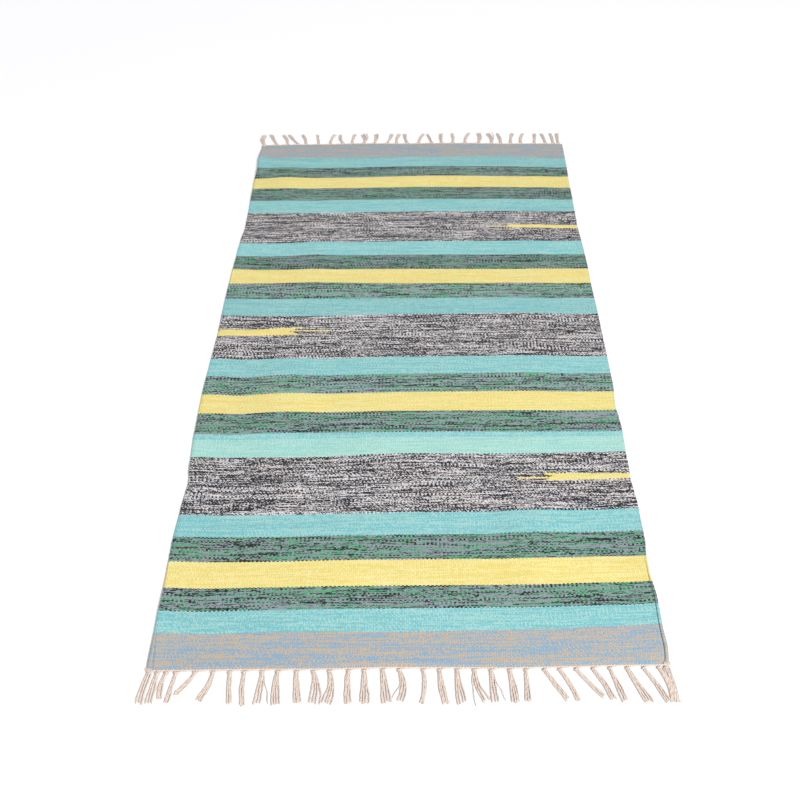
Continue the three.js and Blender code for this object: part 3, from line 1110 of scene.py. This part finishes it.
def operator(kind: str, swapped: bool = False) -> Callable[[Value, Value | float], Value]:
    """Makes one of Value's operators.

    Args:
        kind: the Math node's operation.
        swapped: whether the other number comes first.

    Returns:
        The operator, as a method.
    """

    def method(value: Value, other: Value | float) -> Value:
        """A Math node of a value and another number."""
        return value.graph.math(kind, *((other, value) if swapped else (value, other)))

    return method


class Value:
    """A shader number: arithmetic on it adds Math nodes to its graph."""

    def __init__(self, graph: Graph, socket: bpy.types.NodeSocket) -> None:
        """Wraps a socket of a graph."""
        self.graph = graph
        self.socket = socket

    __add__ = __radd__ = operator("ADD")
    __sub__ = operator("SUBTRACT")
    __rsub__ = operator("SUBTRACT", swapped=True)
    __mul__ = __rmul__ = operator("MULTIPLY")
    __truediv__ = operator("DIVIDE")
    __gt__ = operator("GREATER_THAN")
    __lt__ = operator("LESS_THAN")


class Graph:
    """A material's node graph, with one method that makes every node."""

    def __init__(self, name: str) -> None:
        """Starts a new material with an empty graph."""
        self.material = bpy.data.materials.new(name)
        self.material.use_nodes = True
        self.tree = self.material.node_tree
        self.tree.nodes.clear()

    def node(
        self,
        kind: str,
        settings: dict[str, object] | None = None,
        inputs: dict[str | int, object] | None = None,
    ) -> bpy.types.Node:
        """Makes a node, sets it up and fills or links its sockets.

        Args:
            kind: the node's type.
            settings: its properties; "stops" holds a ramp's (position, colour) pairs.
            inputs: socket names or numbers, with values, Values or sockets.

        Returns:
            The new node.
        """
        made = self.tree.nodes.new(kind)
        for key, value in (settings or {}).items():
            if key == "stops":
                self.set_stops(made.color_ramp, value)
            elif key == "interpolate":
                made.color_ramp.interpolation = value
            else:
                setattr(made, key, value)
        for key, value in (inputs or {}).items():
            target = made.inputs[key]
            if isinstance(value, Value):
                self.tree.links.new(value.socket, target)
            elif isinstance(value, bpy.types.NodeSocket):
                self.tree.links.new(value, target)
            else:
                target.default_value = value
        return made

    @staticmethod
    def set_stops(ramp: bpy.types.ColorRamp, stops: Sequence[tuple[float, tuple]]) -> None:
        """Gives a ramp its stops, in rising order of position."""
        while len(ramp.elements) < len(stops):
            ramp.elements.new(1.0)
        for element, (position, colour) in zip(ramp.elements, stops):
            element.position = position
            element.color = colour

    def math(self, operation: str, *values: Value | float) -> Value:
        """A Math node of one, two or three values."""
        inputs = dict(enumerate(values))
        made = self.node("ShaderNodeMath", {"operation": operation}, inputs)
        return Value(self, made.outputs[0])

    def step(self, value: Value, low: float, high: float) -> Value:
        """A smooth step from 0 at low to 1 at high."""
        made = self.node(
            "ShaderNodeMapRange",
            {"interpolation_type": "SMOOTHSTEP"},
            {"Value": value, "From Min": low, "From Max": high},
        )
        return Value(self, made.outputs["Result"])

    def noise(self, x: Value | float, y: Value | float, detail: float = 0.0) -> Value:
        """Noise of about 0 to 1 at a point of a plane."""
        point = self.node("ShaderNodeCombineXYZ", None, {"X": x, "Y": y})
        made = self.node(
            "ShaderNodeTexNoise",
            {"noise_dimensions": "2D"},
            {"Vector": point.outputs[0], "Scale": 1.0, "Detail": detail},
        )
        return Value(self, made.outputs[0])

    def mix(self, share: Value | float, first: object, second: object) -> bpy.types.NodeSocket:
        """A colour between two, by a share from 0 to 1."""
        inputs = {0: share, 6: first, 7: second}
        return self.node("ShaderNodeMix", {"data_type": "RGBA"}, inputs).outputs[2]

    def bump(self, height: Value, distance: float, strength: float = 1.0) -> bpy.types.NodeSocket:
        """Fine relief for a shader's normal, from a height of 0 to 1."""
        inputs = {"Strength": strength, "Distance": distance, "Height": height}
        return self.node("ShaderNodeBump", None, inputs).outputs[0]

    def uv(self, name: str) -> tuple[Value, Value]:
        """The two coordinates of one of the piece's UV maps."""
        source = self.node("ShaderNodeUVMap", {"uv_map": name})
        split = self.node("ShaderNodeSeparateXYZ", None, {0: source.outputs[0]})
        return Value(self, split.outputs[0]), Value(self, split.outputs[1])

    def finish(self, inputs: dict[str, object]) -> bpy.types.Material:
        """Makes the shader, links it to the output and returns the material.

        Args:
            inputs: the shader's socket names, with numbers, colours or sockets.

        Returns:
            The finished material.
        """
        shader = self.node("ShaderNodeBsdfPrincipled", None, inputs)
        self.node("ShaderNodeOutputMaterial", None, {"Surface": shader.outputs[0]})
        return self.material


@dataclass(frozen=True)
class Bead:
    """The bead of weft that shows at a point, as shader values.

    pick counts the wefts from the near end, place is that weft's distance from the near
    end in metres, and across and along go from -1 to 1 over the bead. row counts straight
    rows half a bead high, strand says which half of the bead the point is in, and x and y
    are the point's own metres across and along.
    """

    pick: Value
    place: Value
    across: Value
    along: Value
    row: Value
    strand: Value
    x: Value
    y: Value


@dataclass(frozen=True)
class Streak:
    """Streaks along the wefts: their length, their weight and how far apart in the noise
    one line's streaks lie from the next's."""

    length: float
    weight: float
    stride: float


@dataclass(frozen=True)
class WeaveFinish:
    """The weft-faced weave: beads of weft over each warp, coloured pick by pick.

    A pick goes over every second warp, and its neighbours close over it on the others, so
    each warp shows a column of beads two picks long, half a bead out of step with the next
    column. The stripe is looked up at the middle of a bead, so that a change of stripe has
    the teeth of the real cloth. Each weft is two plies twisted together. Which ply shows
    is a sum of the twist's own wave, streaks along each pick, strand and row, a mottle and
    a fine fuzz, passed through a smooth step. Each seed moves its noise to a place of its
    own. tip_inset is in millimetres, like the inlays.
    """

    shape: RugShape
    gain: float = 0.95
    dark: tuple[int, int, int] = (38, 40, 46)
    warm: tuple[float, float, float, float] = (1.06, 0.985, 0.955, 1.0)
    cool: tuple[float, float, float, float] = (0.945, 1.01, 1.05, 1.0)
    twist: float = 5.2 * MM
    climb: float = 4.2 * MM
    twist_share: float = 1.1
    twist_slant: float = 0.2
    wander: float = 60 * MM
    wander_stride: float = 0.09
    wander_turns: float = 5.0
    wander_seed: float = 7.0
    pick_streak: Streak = Streak(150 * MM, 5.5, 5.71)
    strand_streak: Streak = Streak(45 * MM, 4.0, 7.31)
    row_streak: Streak = Streak(12 * MM, 4.2, 3.77)
    stagger: float = 0.37
    mottle_size: float = 7 * MM
    mottle_flat: float = 0.5
    mottle_weight: float = 2.4
    fuzz_size: float = 1.9 * MM
    fuzz_flat: float = 0.75
    fuzz_weight: float = 3.4
    ply_seed: float = 3.0
    dark_seed: float = 31.0
    fuzz_seed: float = 63.0
    hue_seed: float = 87.0
    softness: float = 0.8
    dark_streaks: float = 0.7
    dark_fuzz: float = 0.4
    dark_step: tuple[float, float] = (0.65, 1.25)
    tip_ragged: float = 14 * MM
    tip_stride: float = 1.9
    tip_seed: float = 3.0
    tip_inset: float = 4.0
    tail_picks: float = 1.5
    # The painted shade along each corded edge's groove: full within groove_core of its line, gone
    # by groove_half, and full over groove_hold of the groove's reach before it fades.
    groove_core: float = 0.2 * MM
    groove_half: float = 1.4 * MM
    groove_hold: float = 0.6
    # Painted shade of each bead: darker towards its sides by arch_shade and in the valley between
    # picks by pick_shade.
    arch_shade: float = 0.08
    pick_shade: float = 0.28
    arch_relief: float = 0.4
    pick_relief: float = 0.6
    bump_height: float = 0.25 * MM

    def stripe_share(self, place: Value) -> Value:
        """The middle of a stripe's step on a ramp that has one equal step for each stripe."""
        starts = np.cumsum([stripe.width for stripe in STRIPES[:-1]]) * MM
        count: Value | float = 0.5
        for start in starts:
            count = (place > float(start)) + count
        return count / len(STRIPES)

    def ramp(self, graph: Graph, share: Value, colours: dict[Weft, tuple]) -> bpy.types.Node:
        """A ramp with one equal hard step for each stripe."""
        stops = []
        for i, stripe in enumerate(STRIPES):
            *colour, last = colours[stripe.weft]
            dyed = [channel * stripe.tone for channel in colour]
            stops.append((i / len(STRIPES), (*dyed, last)))
        settings = {"interpolate": "CONSTANT", "stops": stops}
        return graph.node("ShaderNodeValToRGB", settings, {0: share})

    def bead(self, graph: Graph, across: Value, along: Value) -> Bead:
        """Finds the bead at a point: warp i shows every second pick, 2n + (i mod 2)."""
        warps = across / self.shape.warp_pitch
        warp = graph.math("FLOOR", warps)
        parity = graph.math("FLOORED_MODULO", warp, 2.0)
        picks = along / self.shape.pick_pitch
        pick = graph.math("FLOOR", (picks - parity) / 2.0 + 0.5) * 2.0 + parity
        return Bead(
            pick=pick,
            place=pick * self.shape.pick_pitch,
            across=(warps - warp) * 2.0 - 1.0,
            along=picks - pick,
            row=graph.math("FLOOR", picks),
            strand=(picks - pick) > 0.0,
            x=across,
            y=along,
        )

    def twist_wave(self, graph: Graph, bead: Bead) -> Value:
        """From -1 to 1 as the first or the second ply lies on top.

        The twist starts a little later in each pick, which sets the plies in slanting rows.
        """
        row = bead.pick * self.wander_stride + self.wander_seed
        slow = (graph.noise(bead.x / self.wander, row) - 0.5) * self.wander_turns
        turns = bead.x / self.twist + bead.place / self.climb + slow + bead.along * self.twist_slant
        return graph.math("SINE", turns * TURN)

    def streaks(self, graph: Graph, bead: Bead, seed: float) -> Value:
        """From about -1 to 1: each pick, strand and row has its own streaks, and the whole
        cloth is mottled."""
        total: Value | float = 0.0
        for number, kind in (
            (bead.pick, self.pick_streak),
            (bead.pick + bead.strand, self.strand_streak),
            (bead.row, self.row_streak),
        ):
            line = number * kind.stride
            streak = graph.noise(bead.x / kind.length + line * self.stagger, line + seed) - 0.5
            total = streak * kind.weight + total
        flat = bead.y / (self.mottle_size * self.mottle_flat) + seed
        return total + (graph.noise(bead.x / self.mottle_size, flat) - 0.5) * self.mottle_weight

    def fuzz(self, graph: Graph, bead: Bead, seed: float) -> Value:
        """From about -1 to 1 in specks a little longer across than along."""
        flat = bead.y / (self.fuzz_size * self.fuzz_flat) + seed
        return (graph.noise(bead.x / self.fuzz_size + seed, flat) - 0.5) * self.fuzz_weight

    def inlays(self, graph: Graph, bead: Bead) -> Value:
        """1 on the short yellow runs: each a wedge with a forked tip and a narrow tail."""
        total: Value | float = 0.0
        half_tail = self.shape.pick_pitch * self.tail_picks
        ragged = graph.noise(bead.pick * self.tip_stride + self.tip_seed, 0.5) * self.tip_ragged
        for inlay in INLAYS:
            inward = bead.x if inlay.from_left else self.shape.width - bead.x
            share = graph.math("MINIMUM", inward / (inlay.tip * MM), 1.0)
            low = share * ((inlay.low_end - inlay.low) * MM) + inlay.low * MM
            high = share * ((inlay.high_end - inlay.high) * MM) + inlay.high * MM
            inside = (bead.place > low) * (bead.place < high)
            middle = (bead.place - low) / (high - low) * 2.0 - 1.0
            fork = (1.0 - graph.math("ABSOLUTE", middle)) * (inlay.fork * MM)
            reach = ragged - fork + (inlay.tip - self.tip_inset) * MM
            block = inside * (inward < reach)
            off_tail = graph.math("ABSOLUTE", bead.place - inlay.tail_at * MM)
            tail = (off_tail < half_tail) * (inward < inlay.tail * MM)
            total = graph.math("MAXIMUM", block, tail) + total
        return graph.math("MINIMUM", total, 1.0)

    def groove(self, graph: Graph, across: Value, along: Value) -> Value:
        """The share of light that the grooves along the corded edges keep."""
        kept: Value | float = 1.0
        for cord in CORDS:
            inward = across if cord.side < 0 else self.shape.width - across
            slim = graph.step(along, 0.0, cord.reach * MM)
            back = graph.math("MAXIMUM", 1.0 - along / self.shape.hook_reach, 0.0)
            line = slim * ((cord.plain - cord.wide) * MM) + cord.wide * MM
            line = back * back * (cord.hook * MM) + line
            off_line = graph.math("ABSOLUTE", inward - line)
            near_line = 1.0 - graph.step(off_line, self.groove_core, self.groove_half)
            reach = cord.groove_reach * MM
            fade = 1.0 - graph.step(along, reach * self.groove_hold, reach)
            kept = kept * (1.0 - near_line * (fade * cord.groove_share))
        return kept

    def material(self) -> bpy.types.Material:
        """Builds the material."""
        graph = Graph(WOVEN_SLOT)
        across, along = graph.uv(WEAVE_UV)
        bead = self.bead(graph, across, along)
        stripe_share = self.stripe_share(bead.place)
        first = {weft: linear(weft.value.first, self.gain) for weft in Weft}
        second = {weft: linear(weft.value.second, self.gain) for weft in Weft}
        marked = {weft: (*first[weft][:3], weft.value.dark_share) for weft in Weft}
        first_ramp = self.ramp(graph, stripe_share, marked)
        second_ramp = self.ramp(graph, stripe_share, second)

        wave = self.twist_wave(graph, bead)
        fuzz = self.fuzz(graph, bead, self.fuzz_seed)
        tone = wave * self.twist_share + self.streaks(graph, bead, self.ply_seed) + fuzz
        ply = graph.step(tone, -self.softness, self.softness)
        yarn = graph.mix(ply, first_ramp.outputs[0], second_ramp.outputs[0])

        dark_share = Value(graph, first_ramp.outputs[1])
        slubs = self.streaks(graph, bead, self.dark_seed) * self.dark_streaks
        dark_tone = slubs - fuzz * self.dark_fuzz + dark_share
        dark_mask = graph.step(dark_tone, *self.dark_step) * (dark_share > 0.01)
        yarn = graph.mix(dark_mask, yarn, linear(self.dark, self.gain))
        yellow = graph.mix(ply, first[Weft.YELLOW], second[Weft.YELLOW])
        yarn = graph.mix(self.inlays(graph, bead), yarn, yellow)
        hue = graph.step(self.streaks(graph, bead, self.hue_seed) - fuzz, -1.0, 1.0)
        tint = graph.mix(hue, self.warm, self.cool)

        arch = bead.across * bead.across
        valley = bead.along * bead.along
        # Painted shade: the colour is darkened towards each bead's sides, in the valleys between
        # picks and in the grooves along the corded edges.
        shade = 1.0 - arch * self.arch_shade - valley * self.pick_shade
        shade = shade * self.groove(graph, across, along)
        tinted = graph.node("ShaderNodeVectorMath", {"operation": "MULTIPLY"}, {0: yarn, 1: tint})
        inputs = {0: tinted.outputs[0], "Scale": shade}
        shaded = graph.node("ShaderNodeVectorMath", {"operation": "SCALE"}, inputs)
        dome = 1.0 - arch * self.arch_relief - valley * self.pick_relief
        return graph.finish({
            "Base Color": shaded.outputs[0],
            "Roughness": 0.93,
            "Normal": graph.bump(dome, self.bump_height),
            "Specular IOR Level": 0.25,
            "Sheen Weight": 0.12,
            "Sheen Roughness": 0.5,
        })


@dataclass(frozen=True)
class YarnFinish:
    """Undyed twisted cotton: pale plies that wind round the yarn, with painted shade in the grooves
    between them, a little uneven.
    """

    pale: tuple[int, int, int] = (226, 213, 204)
    # shadow is painted shade for the grooves between the twisted plies, mixed with random
    # unevenness.
    shadow: tuple[int, int, int] = (200, 180, 165)
    twist: float = 2.6 * MM
    plies: float = 2.0
    uneven_size: float = 9 * MM
    ply_share: float = 0.6
    contrast: tuple[float, float] = (0.15, 0.75)
    bump_height: float = 0.18 * MM

    def material(self) -> bpy.types.Material:
        """Builds the material."""
        graph = Graph(YARN_SLOT)
        around, along = graph.uv(YARN_UV)
        phase = (along / self.twist + around * self.plies) * TURN
        ply = graph.math("SINE", phase) * 0.5 + 0.5
        uneven = graph.noise(along / self.uneven_size, around, detail=2.0)
        share = graph.step(ply * self.ply_share + uneven * (1 - self.ply_share), *self.contrast)
        return graph.finish({
            "Base Color": graph.mix(share, linear(self.shadow), linear(self.pale)),
            "Roughness": 0.9,
            "Normal": graph.bump(ply, self.bump_height, strength=0.8),
            "Specular IOR Level": 0.3,
            "Sheen Weight": 0.15,
        })


@dataclass(frozen=True)
class Studio:
    """The plain pale floor, the soft lights and the camera."""

    shape: RugShape
    floor_half: float = 14.0
    floor_drop: float = 0.3 * MM
    floor_tone: tuple[int, int, int] = (245, 245, 247)
    lens: float = 40.2
    sensor: float = 36.0
    eye: tuple[float, float, float] = (0.029, -1.388, 1.265)
    yaw: float = 0.69
    pitch: float = 46.64
    principal_x: float = 432.3
    sky: float = 0.59
    key_strength: float = 1.85
    key_angle: float = 16.0
    key_place: tuple[float, float, float] = (1.45, -0.55, 1.7)
    fill_power: float = 34.0
    fill_size: float = 0.9
    fill_place: tuple[float, float, float] = (1.1, -2.3, 1.6)

    def camera(self) -> None:
        """A camera at the photograph's angle, with the shift that its framing needs."""
        data = bpy.data.cameras.new("camera")
        data.lens = self.lens
        data.sensor_width = self.sensor
        data.shift_x = (IMAGE_WIDTH / 2 - self.principal_x) / IMAGE_WIDTH
        item = bpy.data.objects.new("camera", data)
        item.location = self.shape.moved(np.array(self.eye))
        item.rotation_euler = (math.radians(90 - self.pitch), 0, -math.radians(self.yaw))
        bpy.context.scene.collection.objects.link(item)
        bpy.context.scene.camera = item

    def floor(self) -> None:
        """A wide, plain floor just under the rug."""
        half = self.floor_half
        mesh = bpy.data.meshes.new("floor")
        corners = [(-half, -half), (half, -half), (half, half), (-half, half)]
        points = [(x, y, -self.floor_drop) for x, y in corners]
        mesh.from_pydata(points, [], [(0, 1, 2, 3)])
        item = bpy.data.objects.new("floor", mesh)
        bpy.context.scene.collection.objects.link(item)
        look = {"Base Color": linear(self.floor_tone), "Roughness": 0.9, "Specular IOR Level": 0.1}
        mesh.materials.append(Graph("floor").finish(look))

    def lights(self) -> None:
        """An even sky, a soft light from the right, and a fainter one from the near right."""
        scene = bpy.context.scene
        scene.view_settings.view_transform = "Standard"
        world = bpy.data.worlds.new("studio")
        world.use_nodes = True
        background = world.node_tree.nodes["Background"]
        background.inputs["Color"].default_value = (1.0, 1.0, 1.0, 1.0)
        background.inputs["Strength"].default_value = self.sky
        scene.world = world
        key = bpy.data.lights.new("key", "SUN")
        key.energy = self.key_strength
        key.angle = math.radians(self.key_angle)
        self.lamp(key, self.key_place)
        fill = bpy.data.lights.new("fill", "AREA")
        fill.energy = self.fill_power
        fill.size = self.fill_size
        self.lamp(fill, self.fill_place)

    @staticmethod
    def lamp(data: bpy.types.Light, place: tuple[float, float, float]) -> None:
        """Hangs a lamp at a place, facing the middle of the rug."""
        item = bpy.data.objects.new(data.name, data)
        item.location = place
        x, y, z = place
        item.rotation_euler = (math.atan2(math.hypot(x, y), z), 0, math.atan2(y, x) + math.pi / 2)
        bpy.context.scene.collection.objects.link(item)

    def build(self) -> None:
        """Builds the whole stage."""
        self.camera()
        self.floor()
        self.lights()


@dataclass
class Rug:
    """The whole rug: its cloth, corded edges and fringes, each dressed and placed."""

    shape: RugShape
    finishes: dict[str, tuple[bpy.types.Material, str]] = field(init=False)
    pieces: list[bpy.types.Object] = field(default_factory=list)

    def __post_init__(self) -> None:
        """Makes the finishes, each with the UV map that it reads."""
        self.finishes = {
            WOVEN_SLOT: (WeaveFinish(self.shape).material(), WEAVE_UV),
            YARN_SLOT: (YarnFinish().material(), YARN_UV),
        }

    def add(self, name: str, faces: Faces, slot: str, node: str) -> bpy.types.Object:
        """Makes a piece, gives it its finish and lets it stand for its node.

        Args:
            name: the piece's name.
            faces: its faces.
            slot: the record's name for its material.
            node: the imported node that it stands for.

        Returns:
            The piece.
        """
        material, uv_name = self.finishes[slot]
        piece = faces.as_piece(name, uv_name)
        piece.data.materials.append(material)
        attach(piece, "root")
        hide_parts(node)
        self.pieces.append(piece)
        LOG.info("%s: %d points, %d faces", name, len(faces.points), len(piece.data.polygons))
        return piece

    def build(self) -> None:
        """Builds every piece."""
        shape = self.shape
        cloth = self.add("woven_cloth", WovenCloth(shape).faces(), WOVEN_SLOT, "rug_cloth")
        for name, cord in zip(("edge_left", "edge_right"), CORDS):
            self.add(name, CordedEdge(shape, cord).faces(), WOVEN_SLOT, "rug_cloth")
        ends = (("near", NEAR_TASSELS, -1), ("far", FAR_TASSELS, 1))
        for name, tassels, outward in ends:
            fringe = Fringe(shape, tassels, outward, seed=7 + outward)
            node = f"fringe_{name}"
            self.add(f"{node}_yarns", fringe.yarn_faces(), YARN_SLOT, node)
            self.add(f"{node}_heading", fringe.heading_faces(), YARN_SLOT, node)
            self.add(f"{node}_knots", fringe.knot_faces(), YARN_SLOT, node)


def main() -> None:
    """Loads the frame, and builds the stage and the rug."""
    logging.basicConfig(level=logging.INFO, format="%(name)s: %(message)s")
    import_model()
    shape = RugShape.in_frame()
    Studio(shape).build()
    Rug(shape).build()


if __name__ == "__main__":
    main()
